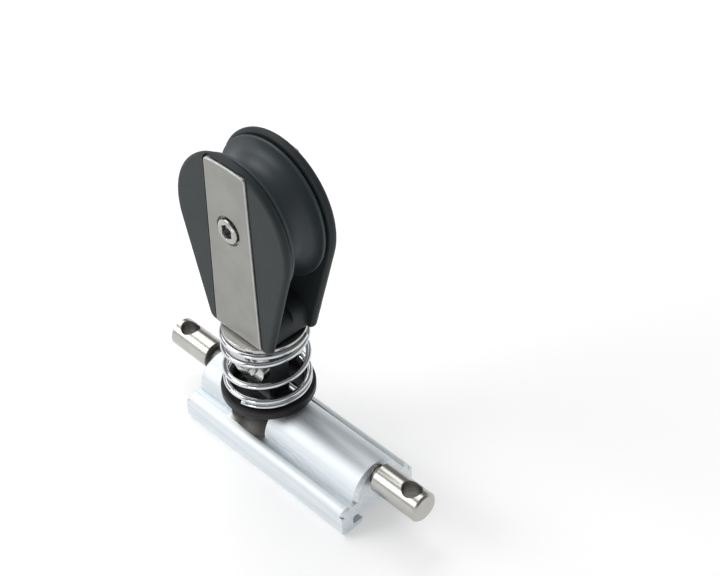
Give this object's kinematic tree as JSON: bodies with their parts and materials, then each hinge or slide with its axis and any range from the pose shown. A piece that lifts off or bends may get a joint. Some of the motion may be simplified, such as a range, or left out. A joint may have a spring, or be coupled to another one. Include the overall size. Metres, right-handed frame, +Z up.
{
  "type": "genoa car",
  "caption": "Sheet car for a T-section track: domed aluminium slide with eye pins at both ends and a stand-up single block on a spring-held universal toggle.",
  "frame": {"origin": "middle of the car's underside, where it rests on the track", "axes": "+X along the track, towards the end away from the block; +Y across the track; +Z up, away from the track"},
  "size_m": [0.1384, 0.0376, 0.1381],
  "materials": {
    "anodised_body": "satin clear anodised",
    "pin_steel": "polished stainless",
    "ring_moulding": "satin black moulding",
    "spring_wire": "bright polished wire",
    "fork_steel": "polished plate",
    "toggle_steel": "satin black coated forging",
    "strap_steel": "satin stainless",
    "cheek_moulding": "fine-grained charcoal moulding",
    "sheave_moulding": "smooth charcoal moulding",
    "screw_steel": "polished screw heads",
    "hidden_steel": "turned stainless",
    "bearing_plastic": "natural acetal"
  },
  "bodies": {
    "car": {"car_body": "anodised_body", "front_eye_pin": "pin_steel", "rear_eye_pin": "pin_steel", "pivot_pin": "hidden_steel", "spring_seat": "ring_moulding"},
    "toggle_link": {"toggle": "toggle_steel", "pivot_bush": "bearing_plastic", "fork_bush": "bearing_plastic", "stand_up_spring": "spring_wire"},
    "block": {"fork": "fork_steel", "fork_pin": "hidden_steel", "near_circlip": "hidden_steel", "far_circlip": "hidden_steel", "spring_top_plate": "fork_steel", "head_screw": "hidden_steel", "head_nut": "hidden_steel", "strap": "strap_steel", "near_cheek": "cheek_moulding", "far_cheek": "cheek_moulding", "axle": "hidden_steel", "near_axle_screw": "screw_steel", "far_axle_screw": "screw_steel", "near_thrust_washer": "bearing_plastic", "far_thrust_washer": "bearing_plastic", "front_cheek_screw": "hidden_steel", "rear_cheek_screw": "hidden_steel"},
    "rolling_sheave": {"sheave": "sheave_moulding", "sheave_bush": "bearing_plastic"}
  },
  "joints": [
    {"name": "side_tilt", "type": "hinge", "parent": "car", "child": "toggle_link", "pos_m": [-0.0147, 0, 0.0202], "axis": [1, 0, 0], "range_deg": [-15, 15], "stiffness_Nm_per_rad": 2, "deforming": ["stand_up_spring"]},
    {"name": "fore_aft_rock", "type": "hinge", "parent": "toggle_link", "child": "block", "pos_m": [-0.0147, 0, 0.0456], "axis": [0, 1, 0], "range_deg": [-20, 20], "stiffness_Nm_per_rad": 2, "deforming": ["stand_up_spring"]},
    {"name": "sheave_spin", "type": "hinge", "parent": "block", "child": "rolling_sheave", "pos_m": [-0.0147, 0, 0.1088], "axis": [0, 1, 0], "continuous": true}
  ]
}
